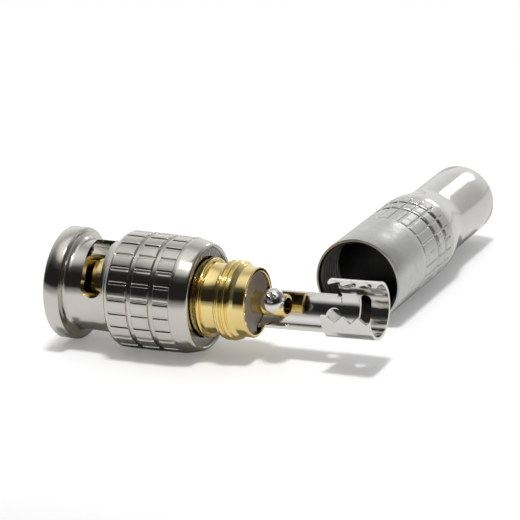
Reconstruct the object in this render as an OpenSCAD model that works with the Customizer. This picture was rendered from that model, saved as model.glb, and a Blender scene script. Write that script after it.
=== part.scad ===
// Screw-on coaxial cable plug, with its coupling sleeve, cable clamp and rear barrel.
// X runs along the plug from the mating end to the cable end. The origin is on the
// plug's axis at the tip of the outer contact. The barrel lies beside it along Y, and
// both rest on the plane z = -grip_r.

/* [Coupling sleeve] */
// Room between the outer contact and the sleeve's bore
mate_gap = 0.98; // [0.9:0.01:1.2]
// Wall of the plain neck
neck_t = 0.95; // [0.85:0.01:1.4]
// Height of the front flange above the neck
flange_rise = 1.4; // [1:0.05:1.8]
// Width of the front flange
flange_w = 2.22; // [1.6:0.01:2.8]
// Where the grip begins, from the front
grip_x = 8.6; // [8.4:0.05:9.4]
// Height of the grip above the rolled rim
grip_rise = 0.72; // [0.6:0.01:1.2]
// Length of the front knurled band
band_1 = 2.5; // [2:0.05:2.8]
// Length of the middle knurled band
band_2 = 2.35; // [2:0.05:2.8]
// Length of the rear knurled band
band_3 = 2.15; // [1.8:0.05:2.4]
// Width of the two grooves between the bands
band_gap = 0.7; // [0.4:0.05:0.9]
// Depth of those grooves
band_gap_d = 0.3; // [0.15:0.05:0.4]
// Fine grooves around the grip
knurl_n = 24; // [12:1:36]
// Width of a fine groove
knurl_w = 0.34; // [0.2:0.02:0.6]
// Depth of a fine groove
knurl_d = 0.14; // [0.08:0.02:0.2]
// Length of the plain rear part behind the bands
rear_w = 2.34; // [2.1:0.02:3]
// Wall of the rolled rim at the rear
rim_t = 0.3; // [0.24:0.02:0.4]

/* [Bayonet slots] */
// Lug slot width
slot_w = 2.7; // [2.3:0.1:2.9]
// Radius of the rounded locking end
lock_r = 1.55; // [1.4:0.05:1.7]
// Distance of the locking end from the front
lock_x = 6.2; // [5.6:0.1:6.6]
// How far the slot runs towards the front over its turn
slot_rise = 0.7; // [0:0.1:1.4]
// Turn between entry and locking end, degrees
slot_turn = 80; // [60:1:95]
// Position of the locking end around the axis, degrees from +Y towards +Z
lock_a = 162; // [0:1:359]
// Depth of the entry channels in the bore
channel_d = 0.7; // [0.5:0.02:0.74]

/* [Sprung retainer] */
// Forward travel of the sleeve against its spring washer
travel = 1; // [0.6:0.1:1.2]
// Thickness of the retaining ring
ring_t = 0.85; // [0.6:0.05:1]
// Room between the body's collar and the ring
ring_gap = 0.1; // [0.06:0.01:0.3]
// Running clearance between the ring, the sleeve and the body
run = 0.05; // [0.03:0.01:0.08]
// Thickness of the spring washer's strip
wave_t = 0.3; // [0.2:0.05:0.4]
// Height of its waves, from one side to the other
wave_h = 0.65; // [0.4:0.05:0.7]

/* [Body] */
// Thickness of the hidden flange that the sleeve pulls on
body_flange_t = 1.6; // [1.2:0.1:1.8]
// Wall of the shaft around the outer contact's root
shaft_t = 0.83; // [0.7:0.01:0.9]
// Width of the collar
collar_w = 0.75; // [0.6:0.05:1.4]
// Width of the relief behind the collar
relief_w = 2.03; // [1:0.01:2.4]
// Depth of the relief, from the thread's crests
relief_d = 0.6; // [0.4:0.05:0.62]
// Pitch of the barrel thread
pitch = 0.75; // [0.5:0.05:1]
// Full turns on the body
turns = 3; // [2:1:4]
// Depth of the thread
thread_d = 0.34; // [0.2:0.02:0.4]
// Length of the plain rear end behind the thread
tail_len = 1.715; // [1:0.005:2.5]
// Step down from the thread's crests to the plain rear end
tail_d = 0.62; // [0.5:0.02:0.7]
// Wall around the counterbore in the rear end
rear_t = 0.51; // [0.4:0.01:0.6]
// Depth of that counterbore
well_d = 4.6; // [3.5:0.1:5]

/* [Contacts and insulators] */
// Outer radius of the slotted outer contact
shell_r = 3.92; // [3.85:0.01:4.05]
// Wall of the outer contact
shell_t = 0.5; // [0.4:0.05:0.6]
// Extra radius of the outer contact's root, which is pressed into the body
shell_step = 0.2; // [0.16:0.01:0.3]
// Slits in the outer contact
slit_n = 3; // [2:1:6]
// Length of a slit
slit_len = 6.4; // [5:0.1:9]
// Width of a slit
slit_w = 0.4; // [0.3:0.05:0.6]
// Radius of the centre pin
pin_r = 0.675; // [0.6:0.005:0.7]
// Free length of the centre pin
pin_len = 4.8; // [4:0.1:5.4]
// Setback of the pin's tip
pin_x = 1.6; // [1:0.1:2.5]
// Radius of the contact inside the insulators
core_r = 1.05; // [0.9:0.05:1.2]
// Radius of the wire terminal
term_r = 1.47; // [1.35:0.01:1.6]
// Length of the terminal behind the insulator
term_len = 4.42; // [4.2:0.02:5]
// Radius of the wire hole
wire_r = 1.06; // [0.8:0.01:1.1]
// Depth of the wire hole
wire_d = 3.6; // [3:0.1:4]
// Setback of the insulator from the body's rim
face_set = 0.33; // [0.1:0.01:0.6]

/* [Terminal screw] */
// Radius of the head
head_r = 1.64; // [1.4:0.02:1.8]
// Height of the head
head_h = 1.2; // [0.9:0.05:1.3]
// Height of the head's straight side
head_side = 0.36; // [0.3:0.02:0.7]
// Radius of the shank
shank_r = 0.8; // [0.6:0.05:0.9]
// Distance from the shank's axis to the terminal's end
screw_back = 1.5; // [1.2:0.05:1.6]
// Width of the cross recess's arms
cross_w = 0.56; // [0.4:0.02:0.6]
// Span of the cross recess
cross_span = 1.9; // [1.6:0.1:2.5]
// Depth of the cross recess
cross_d = 0.65; // [0.3:0.05:0.7]

/* [Cable clamp] */
// Room between the trough and the counterbore
trough_gap = 0.45; // [0.3:0.01:0.6]
// Extra radius of the wider cradle
cradle_step = 0.17; // [0.16:0.01:0.3]
// Sheet thickness
sheet = 0.4; // [0.3:0.05:0.45]
// Half the trough's angle
trough_a = 48; // [35:1:55]
// Half the cradle's angle, to the tooth tips
wing_a = 143; // [125:1:150]
// Where the cradle starts, from the body's rear rim
cradle_gap = 9.9; // [7.5:0.05:12]
// Length of the cradle
cradle_len = 6.45; // [5.5:0.05:8]
// Pitch of the teeth along the wings' edges
tooth_pitch = 2.1; // [1.8:0.05:2.2]
// Height of a tooth, as an angle about the clamp's axis
tooth_a = 14; // [6:1:18]
// Lift of the clamp from the axis, degrees
clamp_lean = 1.8; // [0:0.1:2.2]
// Radius of the round hole ahead of the cradle
eye_r = 0.98; // [0.6:0.02:1.1]
// Distance of that hole from the cradle
eye_ahead = 0.8; // [0.4:0.05:1.5]
// Distance of the cross slot from the cradle's start
window_x = 3.35; // [2.6:0.05:3.8]
// Width of the cross slot
window_w = 1.52; // [0.8:0.02:1.7]
// Half the angle that the cross slot spans, with its round ends
window_a = 51; // [30:1:60]
// Turn of the body and its clamp about the plug's axis, degrees
body_turn = 39; // [0:1:359]

/* [Rear barrel] */
// Overall length
barrel_len = 38.15; // [36:0.05:42]
// Room between the body's crests and the bottom of the barrel's turns
thread_gap = 0.32; // [0.28:0.01:0.4]
// Wall around the threaded bore
barrel_t = 0.46; // [0.4:0.01:0.8]
// Length of the wide part
wide_len = 19.4; // [19:0.05:22]
// Length of the rounded shoulder
shoulder = 7.2; // [5:0.1:9]
// Step down from the wide part to the tail
spout_step = 0.95; // [0.6:0.01:1.2]
// Wall thickness of the tail
wall = 0.75; // [0.6:0.05:0.9]
// Length of the threaded bore
barrel_thread = 6.4; // [5:0.1:8]
// Distance of the front ring groove from the wide part's end
front_back = 9.77; // [9:0.01:10.5]
// Distance of the middle ring groove from the wide part's end
mid_back = 5.08; // [4.5:0.01:6]
// Distance of the rear ring groove from the wide part's end
rear_back = 2.35; // [2:0.01:3]
// Width of the middle and rear ring grooves
ring_w = 0.6; // [0.3:0.02:0.7]
// Depth of the middle and rear ring grooves
ring_d = 0.28; // [0.16:0.02:0.3]
// Step from the tail's inside to the cable hole
cable_lip = 0.63; // [0.4:0.01:1]
// Length of the cable hole
cable_len = 2.6; // [2:0.1:4]
// Distance of the barrel's axis behind the plug's front
barrel_x = 34; // [20:1:60]
// Distance of the barrel's mouth from the plug's axis
barrel_y = 15.55; // [12:0.05:30]

/* [Hidden] */
$fn = 96;

// radii across the neck and the sleeve's rear, from the bore out
bore_r = shell_r + mate_gap;
channel_r = bore_r + channel_d;
neck_r = bore_r + neck_t;
chamber_r = neck_r + 0.45;
groove_r = chamber_r + 0.2;
lip_r = groove_r - 0.12;
ring_ro = groove_r - run;
rim_r = groove_r + rim_t;
flange_r = neck_r + flange_rise;
grip_r = rim_r + grip_rise;
shoulder_r = grip_r - 0.2;
// knurled bands, then the sleeve's end
bands = [band_1, band_2, band_3];
band_x = [for (i = 0, x = grip_x + 0.8; i < 3; x = x + bands[i] + band_gap, i = i + 1) x];
band_end = band_x[2] + band_3;
sleeve_len = band_end + rear_w;
// the retaining ring's seat, measured back from the sleeve's end
lip_w = 0.45;
ring_x1 = sleeve_len - lip_w - run;
ring_x0 = ring_x1 - ring_t;
// ahead of the ring the chamber holds the travel, the washer and the body's flange
chamber_x = ring_x0 - 0.51 - travel - wave_h - body_flange_t - 0.23;
flange_x = chamber_x + 0.23;
body_flange_r = chamber_r - run - 0.03;
// the body's radii, from the outer contact's root out and back in
root_r = shell_r + shell_step;
shaft_r = root_r + shaft_t;
thread_r = shaft_r + 0.15;
collar_r = thread_r + 0.04;
ring_ri = collar_r + ring_gap;
relief_r = thread_r - relief_d;
tail_r = thread_r - tail_d;
well_r = tail_r - rear_t;
seat_r = shell_r - shell_t - 0.1;
// the body's stations
collar_x = sleeve_len + 0.12;
relief_x = collar_x + collar_w;
thread_x = relief_x + relief_w;
thread_len = (turns - 0.1) * pitch;
body_end = thread_x + thread_len + tail_len;
well_x = body_end - well_d;
// contacts
shell_end = flange_x + 2.4;
gasket_x = flange_x - 1.15;
insul_x = pin_x + pin_len;
insul_r = shell_r - shell_t - 0.04;
face_x = body_end - face_set;
term_end = face_x + term_len;
screw_x = term_end - screw_back;
// the clamp
trough_r = well_r - trough_gap;
cradle_r = trough_r + cradle_step;
trough_ri = trough_r - sheet;
cradle_ri = cradle_r - sheet;
cradle_x = body_end + cradle_gap;
cradle_end = cradle_x + cradle_len;
// the barrel
table = -grip_r;
barrel_bore_r = thread_r + thread_gap;
barrel_r = barrel_bore_r + barrel_t;
spout_x = wide_len + shoulder;
spout_r = barrel_r - spout_step;
spout_ri = spout_r - wall;
cable_r = spout_ri - cable_lip;
front_ring = wide_len - front_back;
mid_ring = wide_len - mid_back;
rear_ring = wide_len - rear_back;
flute_end = wide_len - 0.6;

// solid of revolution about X from a profile of [x, r] points
module turned(profile)
    rotate([0, 90, 0]) rotate_extrude() polygon([for (p = profile) [p[1], p[0]]]);

// cylinder about X, from x0 to x1
module rod(x0, x1, r) translate([x0, 0, 0]) rotate([0, 90, 0]) cylinder(h = x1 - x0, r = r);

// tube about X
module tube(x0, x1, ro, ri) difference() { rod(x0, x1, ro); rod(x0 - 1, x1 + 1, ri); }

// sector about X between two angles, measured from +Y towards +Z
module sector(x0, x1, a0, a1, r) {
    n = max(2, ceil((a1 - a0) / 20));
    translate([x0, 0, 0]) rotate([90, 0, 90]) linear_extrude(x1 - x0)
        polygon(concat([[0, 0]], [for (i = [0:n]) let (a = a0 + (a1 - a0) * i / n)
            r * [cos(a), sin(a)]]));
}

// round drill along the radius at an angle about X
module drill(x, a, r, r0, r1)
    rotate([a, 0, 0]) translate([x, 0, 0]) rotate([-90, 0, 0])
        translate([0, 0, r0]) cylinder(h = r1 - r0, r = r);

// evenly spaced grooves along X, cut into a surface of the given radius
module flutes(x0, x1, r, first)
    for (i = [0:knurl_n - 1]) rotate([first + i * 360 / knurl_n, 0, 0])
        translate([x0, r - knurl_d, -knurl_w / 2]) cube([x1 - x0, 2, knurl_w]);

// points on a quarter-round fillet or edge, from one angle to another
function arc(cx, cr, r, a0, a1, n = 5) =
    [for (i = [0:n]) let (a = a0 + (a1 - a0) * i / n) [cx + r * cos(a), cr + r * sin(a)]];

// one bayonet slot through the neck, with its entry channel in the bore
module bayonet_slot() {
    half = slot_turn / 2;
    tilt = atan(slot_rise / (2 * neck_r * sin(half)));
    mid = lock_x - slot_rise / 2;
    rotate([lock_a - half, 0, 0]) {
        intersection() {
            translate([mid, 0, 0]) rotate([0, tilt, 0])
                translate([-slot_w / 2, -9, -9]) cube([slot_w, 18, 18]);
            sector(mid - 5, mid + 5, -half, half, 9);
        }
        drill(lock_x, half, lock_r, 3, 9);
        drill(lock_x - slot_rise, -half, slot_w / 2 + 0.12, 3, 9);
        intersection() {
            rotate([-half, 0, 0]) translate([-1, 0, -slot_w / 2])
                cube([lock_x - slot_rise + 1, 9, slot_w]);
            rod(-1, lock_x, channel_r);
        }
    }
}

module coupling_sleeve() color("gainsboro") difference() {
    turned(concat(
        [[0, bore_r + 0.62], [0, flange_r - 0.2], [0.2, flange_r], [flange_w - 0.1, flange_r],
         [flange_w, flange_r - 0.1]],
        arc(flange_w + 0.75, neck_r + 0.75, 0.75, 180, 270),
        [[grip_x - 2.9, neck_r], [grip_x - 1.2, neck_r + 0.12], [grip_x - 0.4, neck_r + 0.35],
         [grip_x - 0.1, neck_r + 0.8], [grip_x, grip_r - 0.6], [grip_x + 0.25, grip_r - 0.2],
         [grip_x + 0.6, grip_r], [band_x[1] + band_2 / 2, grip_r],
         [band_x[2] + band_3 / 2, grip_r - 0.09], [band_end, grip_r - 0.12],
         [band_end + 0.03, shoulder_r],
         [sleeve_len - 1.35, shoulder_r - 0.14], [sleeve_len - 0.75, shoulder_r - 0.28],
         [sleeve_len - 0.3, rim_r + 0.08], [sleeve_len - 0.08, rim_r - 0.05],
         [sleeve_len, rim_r - 0.16], [sleeve_len, lip_r + 0.1], [sleeve_len - 0.1, lip_r],
         [sleeve_len - lip_w, lip_r], [sleeve_len - lip_w, groove_r],
         [ring_x0 - run, groove_r], [ring_x0 - run, chamber_r], [chamber_x, chamber_r],
         [chamber_x, bore_r], [0.6, bore_r]]));
    for (i = [0, 1])
        tube(band_x[i] + bands[i], band_x[i + 1], grip_r + 1, grip_r - band_gap_d);
    flutes(band_x[0], band_end + 0.2, grip_r - 0.02, 6);
    for (a = [0, 180]) rotate([a, 0, 0]) bayonet_slot();
}

module retaining_ring() color("silver") tube(ring_x0, ring_x1, ring_ro, ring_ri);

// washer that rises and falls three times around
module wave_washer() color("darkgray") {
    ro = body_flange_r - 0.15;
    ri = shaft_r + 0.12;
    n = 72;
    x0 = flange_x + body_flange_t + 0.02;
    amp = (wave_h - wave_t) / 2;
    ring = [for (i = [0:n - 1]) let (a = i * 360 / n, x = x0 + amp * (1 + sin(3 * a)))
        each [[x, ri * cos(a), ri * sin(a)], [x, ro * cos(a), ro * sin(a)],
              [x + wave_t, ro * cos(a), ro * sin(a)], [x + wave_t, ri * cos(a), ri * sin(a)]]];
    polyhedron(ring, [for (i = [0:n - 1], k = [0:3])
        let (p = 4 * i, q = 4 * ((i + 1) % n), m = (k + 1) % 4) each
            [[p + k, q + k, q + m], [p + k, q + m, p + m]]]);
}

// sealing ring around the root of the outer contact
module gasket() color("firebrick")
    tube(gasket_x, flange_x - 0.02, bore_r - 0.15, root_r + 0.02);

module plug_body() color("gold") difference() {
    turned(concat(
        [[flange_x, seat_r], [flange_x, body_flange_r - 0.15], [flange_x + 0.15, body_flange_r],
         [flange_x + body_flange_t, body_flange_r], [flange_x + body_flange_t, shaft_r],
         [collar_x, shaft_r], [collar_x, collar_r - 0.15], [collar_x + 0.15, collar_r],
         [relief_x - 0.35, collar_r], [relief_x - 0.1, collar_r - 0.2], [relief_x, relief_r],
         [thread_x - 0.25, relief_r]],
        [for (i = [0:turns - 1]) each [[thread_x + i * pitch, thread_r - thread_d],
            [thread_x + (i + 0.4) * pitch, thread_r], [thread_x + (i + 0.55) * pitch, thread_r]]],
        [[thread_x + thread_len, thread_r - thread_d], [body_end - 1.5, tail_r],
         [body_end - 0.1, tail_r], [body_end, tail_r - 0.1], [body_end, seat_r]]));
    rod(flange_x - 1, shell_end, root_r);
    rod(well_x, body_end + 1, well_r);
}

module outer_contact() color("gold") difference() {
    union() {
        tube(0, shell_end - 0.02, shell_r, shell_r - shell_t);
        tube(gasket_x - 0.1, shell_end - 0.02, root_r - 0.01, shell_r - shell_t);
    }
    for (i = [0:slit_n - 1]) rotate([114 + i * 360 / slit_n, 0, 0])
        translate([-1, 0, -slit_w / 2]) cube([slit_len + 1, shell_r + 1, slit_w]);
}

module front_insulator() color("ivory") tube(insul_x, shell_end, insul_r, core_r + 0.02);

module rear_insulator() color("rosybrown") difference() {
    union() {
        rod(shell_end + 0.02, well_x, seat_r - 0.04);
        rod(well_x - 0.5, face_x, trough_ri - 0.12);
        rod(well_x + 1.35, face_x, well_r - 0.05);
    }
    rod(shell_end - 1, face_x - 0.8, core_r + 0.02);
    rod(face_x - 0.82, face_x + 1, term_r + 0.02);
    difference() {
        sector(well_x, face_x + 1, -trough_a - 3, trough_a + 3, well_r + 2);
        rod(well_x - 1, face_x + 2, trough_ri - 0.12);
    }
}

module centre_contact() color("gold") difference() {
    turned([[pin_x, 0], [pin_x, 0.25], [pin_x + 0.5, pin_r], [insul_x, pin_r], [insul_x, core_r],
        [face_x - 0.82, core_r], [face_x - 0.82, term_r], [term_end - 0.1, term_r],
        [term_end, term_r - 0.1], [term_end, 0]]);
    rod(term_end - wire_d, term_end + 1, wire_r);
    drill(screw_x, 180, shank_r + run, 0, 4);
}

// pan head with a cross recess, on the side away from the clamp's back
module terminal_screw() color("whitesmoke") {
    seat = term_r + 0.06;
    dome = head_h - head_side;
    top = (head_r * head_r + dome * dome) / (2 * dome);
    translate([screw_x, 0, 0]) rotate([90, 0, 0]) difference() {
        union() {
            translate([0, 0, wire_r + 0.06]) cylinder(h = 1, r = shank_r);
            intersection() {
                translate([0, 0, seat]) cylinder(h = head_h, r = head_r);
                translate([0, 0, seat + head_h - top]) sphere(r = top);
            }
        }
        for (a = [0, 90]) rotate([0, 0, a + 15]) translate([0, 0, seat + head_h - cross_d])
            translate([-cross_span / 2, -cross_w / 2, 0]) cube([cross_span, cross_w, 2]);
        translate([0, 0, seat + head_h - cross_d - 0.2])
            cylinder(h = cross_d + 0.2, r1 = 0.15, r2 = 0.6);
    }
}

// V-shaped cuts along one wing's edge; side is 1 for the upper wing, -1 for the lower
module tooth_gaps(side, first) {
    d = cradle_r * sin(tooth_a);
    n = floor((cradle_len - first - 0.2) / tooth_pitch) + 1;
    for (i = [0:n - 1]) rotate([side * (wing_a - tooth_a), 0, 0])
        translate([cradle_x + first + i * tooth_pitch, cradle_r + 1, 0]) rotate([90, 0, 0])
            linear_extrude(2.5) polygon([[0, 0], [0.62 * tooth_pitch, side * 1.3 * d],
                [-0.62 * tooth_pitch, side * 1.3 * d]]);
}

// slot along the circumference with round ends
module cross_slot(x, half) {
    end_a = half - asin(window_w / 2 / cradle_r);
    sector(x - window_w / 2, x + window_w / 2, -end_a, end_a, 9);
    for (s = [-1, 1]) drill(x, s * end_a, window_w / 2 + 0.02, 2, 9);
}

module cable_clamp() color("silver") {
    tube(well_x + 0.02, well_x + 1.3, well_r - 0.04, trough_ri - 0.1);
    translate([well_x, 0, 0]) rotate([0, -clamp_lean, 0]) translate([-well_x, 0, 0])
    difference() {
        union() {
            intersection() {
                tube(well_x + 0.3, cradle_x + 0.1, trough_r, trough_ri);
                sector(well_x, cradle_end, -trough_a, trough_a, 9);
            }
            intersection() {
                tube(cradle_x, cradle_end, cradle_r, cradle_ri);
                sector(cradle_x - 1, cradle_end + 1, -wing_a, wing_a, 9);
            }
        }
        for (s = [-1, 1]) drill(cradle_x - 0.1, s * trough_a, 0.35, 2, 9);
        drill(cradle_x - eye_ahead, 0, eye_r, 2, 9);
        cross_slot(cradle_x + window_x, window_a);
        tooth_gaps(-1, 1.8);
        tooth_gaps(1, 0.75);
    }
}

module rear_barrel() color("gainsboro") difference() {
    turned(concat(
        [[0.35, barrel_bore_r], [0, barrel_bore_r + 0.12], [0, barrel_r - 0.15], [0.2, barrel_r],
         [wide_len, barrel_r]],
        [for (i = [1:10]) let (t = i / 10) [wide_len + shoulder * t,
            spout_r + (barrel_r - spout_r) * (0.5 + 0.5 * cos(180 * t))]],
        [[barrel_len - 0.25, spout_r], [barrel_len, spout_r - 0.2], [barrel_len, cable_r + 0.15],
         [barrel_len - 0.15, cable_r], [barrel_len - cable_len, cable_r],
         [barrel_len - cable_len, spout_ri], [spout_x - 0.5, spout_ri],
         [wide_len + 1, barrel_bore_r - 0.25], [barrel_thread, barrel_bore_r - 0.25],
         [barrel_thread, barrel_bore_r]]));
    tube(front_ring - ring_w / 4, front_ring + ring_w / 4, barrel_r + 1, barrel_r - ring_d * 0.4);
    for (x = [mid_ring, rear_ring])
        tube(x - ring_w / 2, x + ring_w / 2, barrel_r + 1, barrel_r - ring_d);
    flutes(front_ring, flute_end, barrel_r, 4);
}

// the gold body and what turns with it about the plug's axis
module turned_body() rotate([-body_turn, 0, 0]) children();

coupling_sleeve();
retaining_ring();
turned_body() wave_washer();
gasket();
plug_body();
turned_body() outer_contact();
front_insulator();
turned_body() rear_insulator();
turned_body() centre_contact();
turned_body() terminal_screw();
turned_body() cable_clamp();
translate([barrel_x, barrel_y, table + barrel_r]) rotate([0, 0, 90]) rear_barrel();
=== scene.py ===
import math
import bmesh
import bpy
import numpy as np
from mathutils import Matrix, Vector


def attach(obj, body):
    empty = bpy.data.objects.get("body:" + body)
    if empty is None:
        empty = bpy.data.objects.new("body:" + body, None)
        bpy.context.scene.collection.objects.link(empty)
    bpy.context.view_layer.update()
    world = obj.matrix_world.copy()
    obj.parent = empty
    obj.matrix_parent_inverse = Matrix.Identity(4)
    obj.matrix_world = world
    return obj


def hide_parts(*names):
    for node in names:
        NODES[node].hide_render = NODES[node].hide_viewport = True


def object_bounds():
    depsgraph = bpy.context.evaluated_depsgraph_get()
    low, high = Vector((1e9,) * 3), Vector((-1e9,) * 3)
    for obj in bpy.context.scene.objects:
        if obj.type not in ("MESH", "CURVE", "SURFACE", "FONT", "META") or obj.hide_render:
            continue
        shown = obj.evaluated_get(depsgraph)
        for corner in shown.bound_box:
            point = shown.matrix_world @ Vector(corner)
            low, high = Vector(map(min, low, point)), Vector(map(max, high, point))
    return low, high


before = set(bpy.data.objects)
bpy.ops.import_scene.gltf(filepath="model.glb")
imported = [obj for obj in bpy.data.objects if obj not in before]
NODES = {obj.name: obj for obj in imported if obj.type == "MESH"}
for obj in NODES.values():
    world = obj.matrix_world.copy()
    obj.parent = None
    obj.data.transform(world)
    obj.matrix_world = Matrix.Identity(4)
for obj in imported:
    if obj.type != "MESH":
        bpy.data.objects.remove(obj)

CAD_BOX = [list(c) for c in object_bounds()]
MM = 0.001
TABLE_Z = CAD_BOX[0][2]

# ---------------------------------------------------------------- stage values, in metres and watts
CAMERA_PLACE = (0.17343, -0.31248, 0.11969)
CAMERA_RIGHT = (0.9106, 0.4113, -0.0384)
CAMERA_BACK = (0.4019, -0.8602, 0.3138)
LENS, SENSOR = 200.77, 36.0
FLOOR_HALF, FLOOR_DROP = 4.0, 0.00001
FLOOR_GLOW = 0.22                            # only the camera sees it, so the table reads white
PANEL_WATTS, PANEL_SIZE = 6.3, 0.16
PANEL_PLACE = (0.12, -0.17, 1.0)
# brightness of the studio against elevation, as a share of a right angle
FRONT = [(0.0, 0.40), (0.09, 0.02), (0.44, 0.02), (0.58, 0.10), (0.68, 0.66), (0.78, 1.05), (1.0, 1.2)]
BACK = [(0.0, 0.98), (0.2, 0.92), (0.43, 0.72), (0.55, 0.52), (0.64, 0.66), (0.72, 0.92), (1.0, 1.15)]
# a factor on BACK, from left to right
ACROSS = [(0.0, 1.0), (0.57, 0.97), (0.73, 0.57), (0.9, 0.3)]
# the bright window behind: its half width, its elevations and its brightness
WINDOW_HALF, WINDOW_LOW, WINDOW_HIGH, WINDOW_LIGHT = 0.14, 0.20, 0.296, 3.0

# ---------------------------------------------------------------- the solids' sizes, in millimetres
TABLE = -7.52                                # the table's height
# coupling sleeve
SLEEVE_LEN, FLANGE_W, FLANGE_R = 20.14, 2.22, 7.25
BORE_R, CHANNEL_R, NECK_R, GRIP_R, GRIP_X = 4.90, 5.60, 5.85, 7.52, 8.6
BANDS = ((9.4, 11.9), (12.6, 14.95), (15.65, 17.8))
GAPS = [(end, start) for (_, end), (start, _) in zip(BANDS[:-1], BANDS[1:])]
GAP_DEPTH, FLUTE_DEPTH = 0.30, 0.16
BAND_START, BAND_END = BANDS[0][0], BANDS[-1][1]
CHAMBER_X, CHAMBER_R, GROOVE_X, GROOVE_R = 14.8, 6.30, 18.74, 6.50
LIP_W, LIP_R, RIM_R = 0.45, 6.38, 6.80
# lug slots: the locking end's place, the run towards the front, half the width, degrees
LOCK_X, LOCK_R, SLOT_RISE, SLOT_HALF = 6.2, 1.55, 0.7, 1.35
SLOT_TURN, LOCK_ANGLES = 80.0, (162.0, 342.0)
# gold body
FLANGE_X, FLANGE_BACK, INNER_FLANGE_R, SHAFT_R = 15.03, 16.63, 6.22, 4.95
ROOT_R, ROOT_END, SEAT_R = 4.12, 17.43, 3.32
COLLAR_X, COLLAR_R, CREST_R, RELIEF_R, TAIL_R = 20.26, 5.14, 5.10, 4.50, 4.48
WELL_X, WELL_R, BODY_END = 22.33, 3.97, 26.93
PITCH = 0.80
BODY_TURN = 39.0
# terminal screw
SCREW_X, HEAD_SEAT, HEAD_H, HEAD_R, SHANK_R, SHANK_TIP = 29.52, 1.53, 1.2, 1.64, 0.8, 1.1
# rear barrel
BARREL_X, BARREL_Y, BARREL_R, SPOUT_R, BARREL_LEN = 34.0, 15.55, 5.88, 4.93, 38.15
WIDE_LEN, SHOULDER, FLUTE_END = 19.4, 7.2, 18.8
TURNS_R, BARREL_BORE_R, SPOUT_BORE_R, CABLE_R, CABLE_LEN = 5.42, 5.17, 4.18, 3.55, 2.6
TURNS_END, TURN_DEPTH = 6.4, 0.42
# ring grooves: place, width, depth
RINGS = ((9.63, 0.26, 0.09), (14.32, 0.66, 0.30), (17.05, 0.66, 0.30))
# fine grooves along the grip and the barrel: first angle, radius and width
FLUTES, FLUTE_STEP, FLUTE_BEVEL = 24, 15.0, 0.05
SLEEVE_FLUTE = dict(first=6.0, radius=7.5, width=0.34)
BARREL_FLUTE = dict(first=4.0, radius=BARREL_R, width=0.30)


# ---------------------------------------------------------------- camera
def make_camera():
    data = bpy.data.cameras.new("camera")
    data.sensor_width = SENSOR
    data.lens = LENS
    data.clip_start, data.clip_end = 0.01, 20.0
    cam = bpy.data.objects.new("camera", data)
    right = Vector(CAMERA_RIGHT).normalized()
    back = Vector(CAMERA_BACK).normalized()
    up = back.cross(right).normalized()
    right = up.cross(back)
    m = Matrix((right, up, back)).transposed().to_4x4()
    m.translation = Vector(CAMERA_PLACE)
    cam.matrix_world = m
    bpy.context.scene.collection.objects.link(cam)
    bpy.context.scene.camera = cam


# ---------------------------------------------------------------- shader helpers
class Tree:
    """A short way to build a material's nodes."""

    def __init__(self, name):
        self.mat = bpy.data.materials.new(name)
        self.mat.use_nodes = True
        self.nt = self.mat.node_tree
        self.nt.nodes.clear()
        self.out = self.new("ShaderNodeOutputMaterial")
        self.bsdf = self.new("ShaderNodeBsdfPrincipled")
        self.nt.links.new(self.bsdf.outputs[0], self.out.inputs["Surface"])
        self.coord = self.new("ShaderNodeTexCoord").outputs["Object"]

    def new(self, kind, **props):
        n = self.nt.nodes.new(kind)
        for k, v in props.items():
            setattr(n, k, v)
        return n

    def put(self, node, socket, value):
        s = node.inputs[socket]
        if hasattr(value, "is_output"):
            self.nt.links.new(value, s)
        else:
            s.default_value = value

    def noise(self, scale, detail=2.0, rough=0.5):
        n = self.new("ShaderNodeTexNoise")
        self.put(n, "Vector", self.coord)
        self.put(n, "Scale", scale)
        self.put(n, "Detail", detail)
        self.put(n, "Roughness", rough)
        return n.outputs["Fac"]

    def math(self, op, a, b):
        n = self.new("ShaderNodeMath", operation=op)
        self.put(n, 0, a)
        self.put(n, 1, b)
        return n.outputs[0]

    def span(self, value, lo, hi, to_lo, to_hi):
        n = self.new("ShaderNodeMapRange", clamp=True)
        for k, v in (("Value", value), ("From Min", lo), ("From Max", hi),
                     ("To Min", to_lo), ("To Max", to_hi)):
            self.put(n, k, v)
        return n.outputs["Result"]

    def mix(self, fac, a, b):
        n = self.new("ShaderNodeMix", data_type="RGBA")
        self.put(n, 0, fac)
        for i, c in ((6, a), (7, b)):
            self.put(n, i, c if hasattr(c, "is_output") else (*c, 1.0))
        return n.outputs[2]

    def bump(self, height, strength, distance):
        n = self.new("ShaderNodeBump")
        self.put(n, "Height", height)
        self.put(n, "Strength", strength)
        self.put(n, "Distance", distance)
        return n.outputs["Normal"]

    def set(self, **values):
        for k, v in values.items():
            self.put(self.bsdf, k.replace("_", " "), v)
        return self.mat


def metal(name, light, dark, rough, grain):
    """Plated metal: slow colour drift, small dull flecks, uneven gloss and a fine grain."""
    t = Tree(name)
    drift = t.noise(160.0, 3.0)
    fleck = t.noise(2600.0, 3.0, 0.6)
    colour = t.mix(t.span(drift, 0.35, 0.65, 0.0, 1.0), light, dark)
    colour = t.mix(t.span(fleck, 0.68, 0.8, 0.0, 0.35), colour, tuple(c * 0.6 for c in dark))
    gloss = t.span(t.noise(900.0), 0.3, 0.7, rough * 0.75, rough * 1.3)
    return t.set(Base_Color=colour, Metallic=1.0, Roughness=gloss,
                 Normal=t.bump(t.noise(5200.0), grain, 0.00002))


def moulded(name, light, dark, rough):
    """Moulded plastic or rubber: faint mottling and a fine skin."""
    t = Tree(name)
    colour = t.mix(t.span(t.noise(700.0, 4.0, 0.6), 0.35, 0.65, 0.0, 1.0), light, dark)
    gloss = t.span(t.noise(500.0), 0.3, 0.7, rough * 0.9, rough * 1.1)
    return t.set(Base_Color=colour, Roughness=gloss, Normal=t.bump(t.noise(4200.0, 3.0), 0.25, 0.00003))


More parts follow.
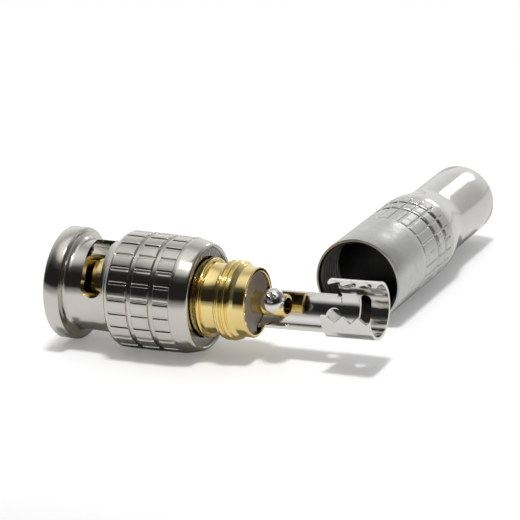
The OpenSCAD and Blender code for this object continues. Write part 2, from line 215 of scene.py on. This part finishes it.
def paint(node, mat):
    data = NODES[node].data
    data.materials.clear()
    data.materials.append(mat)


# ---------------------------------------------------------------- stage
def make_table():
    """A white table that the camera sees burnt out, grey where the object shades it, and with painted shade
    that darkens its colour in front.
    """
    mesh = bpy.data.meshes.new("floor")
    h, z = FLOOR_HALF, TABLE_Z - FLOOR_DROP
    mesh.from_pydata([(-h, -h, z), (h, -h, z), (h, h, z), (-h, h, z)], [], [(0, 1, 2, 3)])
    floor = bpy.data.objects.new("floor", mesh)
    bpy.context.scene.collection.objects.link(floor)
    t = Tree("white_table")
    camera_ray = t.new("ShaderNodeLightPath").outputs["Is Camera Ray"]
    place = t.new("ShaderNodeSeparateXYZ")
    t.put(place, 0, t.coord)
    # painted shade: the table's colour goes darker in front, out of sight, for the shade that the metal
    # reflects from there
    painted_shade = t.span(place.outputs[1], -0.10, -0.035, 0.45, 0.82)      # darker out of sight in front
    t.set(Base_Color=t.mix(painted_shade, (0.0, 0.0, 0.0), (1.0, 1.0, 1.0)), Roughness=0.8,
          Emission_Color=(1.0, 1.0, 1.0, 1.0))
    t.put(t.bsdf, "Emission Strength", t.math("MULTIPLY", camera_ray, FLOOR_GLOW))
    t.put(t.bsdf, "Specular IOR Level", 0.0)
    mesh.materials.append(t.mat)


def make_lamp():
    """A small panel nearly overhead, for the short shadows."""
    panel = bpy.data.lights.new("panel", "AREA")
    panel.shape = "RECTANGLE"
    panel.size, panel.size_y = PANEL_SIZE, PANEL_SIZE
    panel.energy = PANEL_WATTS
    lamp = bpy.data.objects.new("panel", panel)
    lamp.location = PANEL_PLACE
    lamp.rotation_mode = "QUATERNION"
    lamp.rotation_quaternion = Vector(PANEL_PLACE).to_track_quat("Z", "Y")
    bpy.context.scene.collection.objects.link(lamp)


def make_studio():
    """White for the camera. Metal sees a pale backdrop, a bright ceiling and a dark room in front."""
    world = bpy.data.worlds.new("studio")
    bpy.context.scene.world = world
    world.use_nodes = True
    nt = world.node_tree
    nt.nodes.clear()
    new, link = nt.nodes.new, nt.links.new

    def put(socket, value):
        if hasattr(value, "is_output"):
            link(value, socket)
        else:
            socket.default_value = value

    def calc(op, *values):
        n = new("ShaderNodeMath")
        n.operation = op
        for socket, v in zip(n.inputs, values):
            put(socket, v)
        return n.outputs[0]

    def ramp(x, stops):
        n = new("ShaderNodeValToRGB")
        put(n.inputs[0], x)
        e = n.color_ramp.elements
        e[0].position, e[0].color = stops[0][0], (stops[0][1],) * 3 + (1,)
        e[1].position, e[1].color = stops[-1][0], (stops[-1][1],) * 3 + (1,)
        for pos, v in stops[1:-1]:
            e.new(pos).color = (v,) * 3 + (1,)
        return n.outputs[0]

    def blend(fac, a, b):
        n = new("ShaderNodeMix")
        n.data_type = "RGBA"
        for i, v in ((0, fac), (6, a), (7, b)):
            put(n.inputs[i], v)
        return n.outputs[2]

    sep = new("ShaderNodeSeparateXYZ")
    link(new("ShaderNodeTexCoord").outputs["Generated"], sep.inputs[0])
    x, y, z = sep.outputs
    elevation = calc("MULTIPLY", calc("ARCSINE", z), 2 / math.pi)    # 0 at the horizon, 1 overhead
    flat = calc("SQRT", calc("ADD", calc("MULTIPLY", x, x), calc("MULTIPLY", y, y)))
    flat = calc("MAXIMUM", flat, 0.0001)
    toward = calc("DIVIDE", y, flat)                                 # -1 in front, 1 behind
    across = calc("DIVIDE", x, flat)                                 # -1 left, 1 right
    behind = calc("MULTIPLY", ramp(elevation, BACK), ramp(calc("MULTIPLY_ADD", across, 0.5, 0.5), ACROSS))
    smooth = new("ShaderNodeMapRange")
    smooth.interpolation_type = "SMOOTHSTEP"
    for k, v in (("Value", toward), ("From Min", -0.6), ("From Max", 0.5)):
        put(smooth.inputs[k], v)
    room = blend(smooth.outputs[0], ramp(elevation, FRONT), behind)
    window = calc("LESS_THAN", calc("ABSOLUTE", across), WINDOW_HALF)
    for test in (calc("GREATER_THAN", toward, 0.0), calc("GREATER_THAN", elevation, WINDOW_LOW),
                 calc("LESS_THAN", elevation, WINDOW_HIGH)):
        window = calc("MULTIPLY", window, test)
    room = blend(window, room, (WINDOW_LIGHT,) * 3 + (1,))
    path = new("ShaderNodeLightPath").outputs
    seen = calc("MAXIMUM", path["Is Camera Ray"], path["Is Transmission Ray"])
    background = new("ShaderNodeBackground")
    link(blend(seen, room, (1, 1, 1, 1)), background.inputs["Color"])
    link(background.outputs[0], new("ShaderNodeOutputWorld").inputs[0])


# ---------------------------------------------------------------- shape helpers, in millimetres
def curve(points, steps=6):
    """A smooth curve through the points that stays between each pair of neighbours."""
    p = np.array(points, float)
    m = np.gradient(p, axis=0)
    out = []
    for a, b, ma, mb in zip(p[:-1], p[1:], m[:-1], m[1:]):
        for t in np.arange(steps) / steps:
            q = ((2 * t**3 - 3 * t**2 + 1) * a + (t**3 - 2 * t**2 + t) * ma
                 + (3 * t**2 - 2 * t**3) * b + (t**3 - t**2) * mb)
            out.append(tuple(np.clip(q, np.minimum(a, b), np.maximum(a, b))))
    return out + [tuple(p[-1])]


def solid(name, verts, faces, mats=(), index=None):
    """A mesh object from points in millimetres."""
    mesh = bpy.data.meshes.new(name)
    mesh.from_pydata([tuple(v) for v in np.asarray(verts) * MM], [], faces)
    for m in mats:
        mesh.materials.append(m)
    if index is not None:
        mesh.polygons.foreach_set("material_index", index)
    obj = bpy.data.objects.new(name, mesh)
    bpy.context.scene.collection.objects.link(obj)
    return obj


def outward(obj):
    """Turns the mesh's faces outwards."""
    bm = bmesh.new()
    bm.from_mesh(obj.data)
    bmesh.ops.recalc_face_normals(bm, faces=bm.faces)
    bm.to_mesh(obj.data)
    bm.free()


def smooth_shade(obj, crease):
    """Smooth faces, with edges sharper than crease degrees kept sharp."""
    obj.data.validate()
    obj.data.shade_smooth()
    obj.data.set_sharp_from_angle(angle=math.radians(crease))


def lathe(name, loop, angles, mats, radius=None, face_mat=None):
    """Closed solid about X from a loop of (x, r) points.

    A point with a third value takes its radius from radius(x, r, angle) instead.
    """
    x = np.array([p[0] for p in loop], float)[:, None]
    r = np.array([p[1] for p in loop], float)[:, None]
    a = np.radians(np.array(angles, float))[None, :]
    rr = np.repeat(r, a.shape[1], 1)
    if radius is not None:
        shaped = np.array([len(p) > 2 for p in loop])
        rr[shaped] = radius(x[shaped], r[shaped], a)
    xx = np.repeat(x, a.shape[1], 1)
    verts = np.stack([xx, rr * np.cos(a), rr * np.sin(a)], -1).reshape(-1, 3)
    n, k = rr.shape
    i, j = np.meshgrid(np.arange(n), np.arange(k), indexing="ij")
    i2, j2 = (i + 1) % n, (j + 1) % k
    faces = np.stack([i * k + j, i * k + j2, i2 * k + j2, i2 * k + j], -1).reshape(-1, 4)
    index = None if face_mat is None else np.repeat([face_mat(q) for q in range(n)], k)
    obj = solid(name, verts, faces.tolist(), mats, index)
    outward(obj)
    return obj


def flute_edges(width):
    """Distances from a fine groove's middle: its floor, its foot, its wall and its bevel."""
    return np.array([width / 4, width / 2 - 0.06, width / 2, width / 2 + FLUTE_BEVEL])


def fluted_angles(first, radius, width):
    """Angles that follow the edges of the fine grooves and cross the tiles between them."""
    edge = np.concatenate([[0.0], flute_edges(width)]) / radius * 180 / math.pi
    side = np.linspace(edge[-1], FLUTE_STEP / 2, 4)[1:]
    half = np.concatenate([edge, side])
    whole = np.concatenate([-half[1:-1][::-1], half])
    return [first + FLUTE_STEP * i + w for i in range(FLUTES) for w in whole]


def flute(angle, first, radius, width):
    """How deep a fine groove is at an angle, from 0 to 1."""
    off = (np.degrees(angle) - first + FLUTE_STEP / 2) % FLUTE_STEP - FLUTE_STEP / 2
    return np.interp(np.abs(off) * math.pi / 180 * radius, flute_edges(width), [1, 0.88, 0.18, 0])


def trench(x, x0, x1, soft=0.07):
    """How deep a ring groove is along the axis, from 0 to 1."""
    return np.interp(x, [x0 - soft, x0, x0 + soft, x1 - soft, x1, x1 + soft], [0, 0.18, 1, 1, 0.18, 0])


def trench_lines(x0, x1, soft=0.07):
    """Where a ring groove's section bends."""
    return [x0 - soft, x0, x0 + soft, (x0 + x1) / 2, x1 - soft, x1, x1 + soft]


def saw(u):
    """Distance from the crest of a turn, 0 at the crest and 1 half a turn away."""
    return np.abs(u % 1.0 - 0.5) * 2


def cut(obj, tool):
    """Takes tool out of obj for good."""
    m = obj.modifiers.new("cut", "BOOLEAN")
    m.operation, m.solver, m.object = "DIFFERENCE", "MANIFOLD", tool
    done = bpy.data.meshes.new_from_object(obj.evaluated_get(bpy.context.evaluated_depsgraph_get()))
    obj.modifiers.clear()
    obj.data = done
    bpy.data.objects.remove(tool)


def prism(rows):
    """A closed cutter between two equal rings of points."""
    n = len(rows[0])
    faces = [tuple(range(n)), tuple(range(2 * n - 1, n - 1, -1))]
    faces += [(i, (i + 1) % n, n + (i + 1) % n, n + i) for i in range(n)]
    obj = solid("cutter", rows[0] + rows[1], faces)
    outward(obj)
    return obj


def radial_prism(outline, turn, r0, r1):
    """A cutter whose outline is (x, arc length on the neck), from r0 out to r1."""
    rows = []
    for r in (r0, r1):
        angles = [math.radians(turn) + u / NECK_R for _, u in outline]
        rows.append([(x, r * math.cos(a), r * math.sin(a)) for (x, _), a in zip(outline, angles)])
    return prism(rows)


def circle(x, u, r, n=40):
    steps = [2 * math.pi * i / n for i in range(n)]
    return [(x + r * math.cos(t), u + r * math.sin(t)) for t in steps]


def turned(points, degrees):
    """(u, v) points turned about the origin."""
    c, s = math.cos(math.radians(degrees)), math.sin(math.radians(degrees))
    return [(u * c - v * s, u * s + v * c) for u, v in points]


# ---------------------------------------------------------------- pieces
def cut_bayonet_slot(obj, turn):
    """The lug's slot: a wide round locking end, a slanting run and an entry with its channel."""
    arc = math.radians(SLOT_TURN) * NECK_R
    entry_x = LOCK_X - SLOT_RISE
    run = [(float(np.interp(-u, [0, arc], [LOCK_X, entry_x])), float(u)) for u in np.linspace(0, -arc, 25)]
    band = [(x - SLOT_HALF, u) for x, u in run] + [(x + SLOT_HALF, u) for x, u in reversed(run)]
    for outline in (band, circle(LOCK_X, 0.0, LOCK_R), circle(entry_x, -arc, SLOT_HALF + 0.12)):
        cut(obj, radial_prism(outline, turn, 4.0, 6.8))
    top = [math.asin(SLOT_HALF / CHANNEL_R) * t for t in np.linspace(-1, 1, 13)]
    section = [(3.5, -SLOT_HALF)] + [(CHANNEL_R * math.cos(t), CHANNEL_R * math.sin(t)) for t in top]
    section = turned(section + [(3.5, SLOT_HALF)], turn - SLOT_TURN)
    cut(obj, prism([[(x, *p) for p in section] for x in (-1.0, entry_x)]))


def make_sleeve(mat):
    """Coupling sleeve: flange, neck with its lug slots, knurled grip and rolled rim."""
    round_r = 0.75                            # the fillet behind the flange
    fillet = [(FLANGE_W + round_r * (1 - math.sin(t)), NECK_R + round_r * (1 - math.cos(t)))
              for t in np.radians(np.linspace(90, 0, 9))]
    front = [(0.0, BORE_R + 0.62), (0.0, FLANGE_R - 0.22), (0.06, FLANGE_R - 0.08), (0.2, FLANGE_R),
             (FLANGE_W - 0.14, FLANGE_R), (FLANGE_W - 0.04, FLANGE_R - 0.05), (FLANGE_W, FLANGE_R - 0.16)]
    throat = curve([(GRIP_X - 2.9, NECK_R), (GRIP_X - 1.2, NECK_R + 0.12), (GRIP_X - 0.4, NECK_R + 0.35),
                    (GRIP_X - 0.1, NECK_R + 0.8), (GRIP_X, GRIP_R - 0.6), (GRIP_X + 0.22, GRIP_R - 0.2),
                    (GRIP_X + 0.6, GRIP_R)])
    middles = [(start + end) / 2 for start, end in BANDS]
    top = [(GRIP_X + 0.6, GRIP_R), (middles[1], GRIP_R), (middles[2], GRIP_R - 0.09),
           (BAND_END + 0.06, GRIP_R - 0.12)]
    lines = [at + e for at in (BAND_START, BAND_END) for e in (-FLUTE_BEVEL, 0.0, FLUTE_BEVEL)]
    for gap in GAPS:
        lines += trench_lines(*gap)
    for start, end in BANDS:
        lines += list(np.linspace(start, end, 6)[1:-1])
    grip = [(x, float(np.interp(x, *zip(*top))), True) for x in sorted(lines)]
    back = curve([(BAND_END + 0.08, GRIP_R - 0.2), (BAND_END + 0.5, GRIP_R - 0.22),
                  (SLEEVE_LEN - 1.35, GRIP_R - 0.34), (SLEEVE_LEN - 0.75, GRIP_R - 0.5),
                  (SLEEVE_LEN - 0.3, RIM_R + 0.08), (SLEEVE_LEN - 0.08, RIM_R - 0.05),
                  (SLEEVE_LEN, RIM_R - 0.16)])
    inner = [(SLEEVE_LEN, LIP_R + 0.1), (SLEEVE_LEN - 0.1, LIP_R), (SLEEVE_LEN - LIP_W, LIP_R),
             (SLEEVE_LEN - LIP_W, GROOVE_R), (GROOVE_X, GROOVE_R), (GROOVE_X, CHAMBER_R),
             (CHAMBER_X, CHAMBER_R), (CHAMBER_X, BORE_R), (0.6, BORE_R)]

    def radius(x, r, a):
        fine = FLUTE_DEPTH * flute(a, **SLEEVE_FLUTE) * trench(x, BAND_START, BAND_END, FLUTE_BEVEL)
        gaps = sum(trench(x, *gap) for gap in GAPS)
        return r - np.maximum(fine, GAP_DEPTH * gaps * np.ones_like(a))

    obj = lathe("knurled_sleeve", front + fillet + throat + grip + back + inner,
                fluted_angles(**SLEEVE_FLUTE), [mat], radius)
    for turn in LOCK_ANGLES:
        cut_bayonet_slot(obj, turn)
    smooth_shade(obj, 33.0)
    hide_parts("coupling_sleeve")
    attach(obj, "sleeve")


def make_body(mat):
    """The gold body, with a helical thread that fades into the plain rear end."""
    front = [(FLANGE_X, ROOT_R), (FLANGE_X, INNER_FLANGE_R - 0.15), (FLANGE_X + 0.15, INNER_FLANGE_R),
             (FLANGE_BACK, INNER_FLANGE_R), (FLANGE_BACK, SHAFT_R), (COLLAR_X, SHAFT_R)]
    collar = curve([(COLLAR_X, SHAFT_R + 0.02), (COLLAR_X + 0.07, COLLAR_R - 0.04),
                    (COLLAR_X + 0.16, COLLAR_R), (COLLAR_X + 0.49, COLLAR_R),
                    (COLLAR_X + 0.64, COLLAR_R - 0.09), (COLLAR_X + 0.74, RELIEF_R + 0.30),
                    (COLLAR_X + 0.78, RELIEF_R + 0.06), (COLLAR_X + 0.86, RELIEF_R)], 4)
    thread = [(x, CREST_R, True) for x in np.arange(22.6, 25.5, 0.035)]
    end = curve([(25.6, TAIL_R), (BODY_END - 0.23, TAIL_R), (BODY_END - 0.07, TAIL_R - 0.03),
                 (BODY_END, TAIL_R - 0.12)], 4)
    inner = [(BODY_END, WELL_R + 0.09), (BODY_END - 0.07, WELL_R), (WELL_X, WELL_R), (WELL_X, SEAT_R),
             (ROOT_END, SEAT_R), (ROOT_END, ROOT_R)]
    first_crest, crest_angle = 23.35, 160.0

    def radius(x, r, a):
        u = (x - first_crest) / PITCH - a / (2 * math.pi) + crest_angle / 360 + 0.5
        shape = r - np.interp(saw(u), [0.0, 0.12, 0.30, 0.78, 1.0], [0, 0.01, 0.07, 0.36, 0.40])
        # the turns rise out of the relief and run out before the rear end
        start = np.interp(x, [22.7, 22.85, 23.02, 23.1], [RELIEF_R, RELIEF_R + 0.05, CREST_R - 0.12, CREST_R])
        stop = np.interp(x, [24.7, 25.05, 25.4], [CREST_R, CREST_R - 0.25, TAIL_R])
        # the groove in front of the first crest is shallow
        shape = np.where(x < 23.2, np.maximum(shape, CREST_R - 0.16), shape)
        return np.maximum(np.minimum(np.minimum(shape, start), stop), TAIL_R)

    obj = lathe("threaded_body", front + collar + thread + end + inner, np.arange(0, 360, 2.5),
                [mat], radius)
    smooth_shade(obj, 40.0)
    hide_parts("plug_body")
    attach(obj, "plug")


def make_barrel(wide, tail, bore, body):
    """Rear barrel: knurled wide part, rounded shoulder, tail, and a thread inside the mouth."""
    soft = 0.1                                # the ring grooves' rounding
    lines = [FLUTE_END - 0.2, FLUTE_END - 0.1, FLUTE_END, FLUTE_END + 0.07]
    for x, w, _ in RINGS:
        lines += trench_lines(x - w / 2, x + w / 2, soft)
    lines += list(np.linspace(10.2, 13.6, 6)) + [15.2, 15.7, 16.2, 17.8, 18.2]
    mouth = [(0.0, TURNS_R + 0.14), (0.0, BARREL_R - 0.16), (0.05, BARREL_R - 0.05), (0.2, BARREL_R),
             (4.0, BARREL_R), (8.0, BARREL_R)]
    knurl = [(x, BARREL_R, True) for x in sorted(lines)]
    slope = [(WIDE_LEN + SHOULDER * t, SPOUT_R + (BARREL_R - SPOUT_R) * (0.5 + 0.5 * math.cos(math.pi * t)))
             for t in np.linspace(0, 1, 25)]
    end = [(30.0, SPOUT_R), (34.0, SPOUT_R), (BARREL_LEN - 0.3, SPOUT_R), (BARREL_LEN - 0.08, SPOUT_R - 0.07),
           (BARREL_LEN, SPOUT_R - 0.22), (BARREL_LEN, CABLE_R + 0.17), (BARREL_LEN - 0.1, CABLE_R + 0.03),
           (BARREL_LEN - 0.2, CABLE_R)]
    inside = [(BARREL_LEN - CABLE_LEN, CABLE_R), (BARREL_LEN - CABLE_LEN, SPOUT_BORE_R),
              (WIDE_LEN + SHOULDER - 0.5, SPOUT_BORE_R), (WIDE_LEN + 1, BARREL_BORE_R),
              (TURNS_END + 0.2, BARREL_BORE_R)]
    turns = [(x, TURNS_R, True) for x in np.arange(TURNS_END, 0.30, -0.06)]
    outside = mouth + knurl + slope + end
    loop = outside + inside + turns

    def outer_depth(x, a):
        groove = flute(a, **BARREL_FLUTE)
        first = RINGS[0][0]
        deep = 0.15 * groove * np.interp(x, [first, first + 0.17, FLUTE_END - 0.15, FLUTE_END], [0, 1, 1, 0])
        # the rings are shallower where the fine grooves cross them
        for at, w, d in RINGS:
            ring = d * trench(x, at - w / 2, at + w / 2, soft)
            deep = np.maximum(deep, ring * (1 - 0.55 * (groove > 0.5)))
        return deep

    def turn_height(x, a):
        u = x / PITCH + a / (2 * math.pi)
        height = np.interp(saw(u), [0, 0.25, 0.8, 1], [0, 0.02, TURN_DEPTH - 0.02, TURN_DEPTH])
        return height * np.interp(x, [0.3, 0.9, 5.6, TURNS_END], [0.2, 1, 1, 0.6])

    def radius(x, r, a):
        return np.where(r > TURNS_R + 0.1, r - outer_depth(x, a), r - turn_height(x, a))

    # the inside faces take the nearly black metal of the painted shade
    def face_mat(q):
        if q >= len(outside) - 1:
            return 2
        return 0 if loop[q][0] < WIDE_LEN + 0.1 else 1

    obj = lathe("threaded_barrel", loop, fluted_angles(**BARREL_FLUTE), [wide, tail, bore], radius, face_mat)
    lying = Matrix.Translation((BARREL_X * MM, BARREL_Y * MM, (TABLE + BARREL_R) * MM))
    obj.data.transform(lying @ Matrix.Rotation(math.pi / 2, 4, "Z"))
    smooth_shade(obj, 40.0)
    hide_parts("rear_barrel")
    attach(obj, body)


def make_screw(mat):
    """Domed head with a tapered cross, over its shank."""
    top = HEAD_SEAT + HEAD_H
    centre = 0.001                            # the lathe's poles are tiny rings
    dome = [(HEAD_SEAT + HEAD_H * math.sin(t), HEAD_R * math.cos(t) ** 0.9)
            for t in np.radians(np.linspace(12, 84, 14))]
    loop = [(SHANK_TIP, centre), (SHANK_TIP, SHANK_R), (HEAD_SEAT, SHANK_R), (HEAD_SEAT, HEAD_R - 0.1),
            (HEAD_SEAT + 0.08, HEAD_R - 0.01)] + dome + [(top, centre)]
    obj = lathe("cross_head_screw", loop, np.arange(0, 360, 5), [mat])
    floor, mouth = (top - 0.8, 0.35, 0.20), (top + 0.3, 1.12, 0.42)    # height, half span, half width
    for arm in (15.0, 105.0):
        rows = []
        for x, span, half in (floor, mouth):
            corners = turned([(-span, -half), (span, -half), (span, half), (-span, half)], arm)
            rows.append([(x, *p) for p in corners])
        cut(obj, prism(rows))
    # the lathe's axis X becomes the screw's axis
    upright = Matrix(((0, 1, 0, 0), (0, 0, 1, 0), (1, 0, 0, 0), (0, 0, 0, 1)))
    about_plug = Matrix.Rotation(math.radians(-BODY_TURN), 4, "X")
    along_plug = Matrix.Translation((SCREW_X * MM, 0, 0))
    obj.data.transform(about_plug @ along_plug @ Matrix.Rotation(math.pi / 2, 4, "X") @ upright)
    smooth_shade(obj, 30.0)
    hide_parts("terminal_screw")
    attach(obj, "screw")


# ---------------------------------------------------------------- the scene
bpy.context.scene.view_settings.view_transform = "Standard"
make_camera()
make_table()
make_studio()
make_lamp()

nickel = metal("nickel", (0.66, 0.635, 0.585), (0.62, 0.595, 0.545), 0.10, 0.06)
satin = metal("satin", (0.60, 0.60, 0.575), (0.55, 0.55, 0.53), 0.34, 0.15)
bright = metal("bright", (0.64, 0.635, 0.61), (0.60, 0.595, 0.57), 0.13, 0.08)
steel = metal("steel", (0.50, 0.51, 0.48), (0.44, 0.45, 0.43), 0.25, 0.15)
# painted shade: the barrel's inside is coloured as nearly black metal, for the shade in its hollow
bore = metal("bore", (0.10, 0.10, 0.09), (0.06, 0.06, 0.055), 0.38, 0.2)
gold = metal("gold", (0.93, 0.76, 0.34), (0.90, 0.69, 0.28), 0.07, 0.06)
tin = metal("tin", (0.80, 0.79, 0.75), (0.74, 0.73, 0.70), 0.10, 0.08)
make_sleeve(nickel)
make_body(gold)
make_barrel(satin, bright, bore, "plug")
make_screw(tin)
for contact in ("outer_contact", "centre_contact"):
    paint(contact, gold)
for washer in ("retaining_ring", "wave_washer"):
    paint(washer, steel)
paint("cable_clamp", tin)
paint("gasket", moulded("rubber", (0.35, 0.06, 0.05), (0.30, 0.05, 0.04), 0.6))
paint("front_insulator", moulded("white_plastic", (0.8, 0.8, 0.78), (0.75, 0.75, 0.72), 0.4))
paint("rear_insulator", moulded("brown_plastic", (0.33, 0.285, 0.25), (0.29, 0.25, 0.22), 0.45))
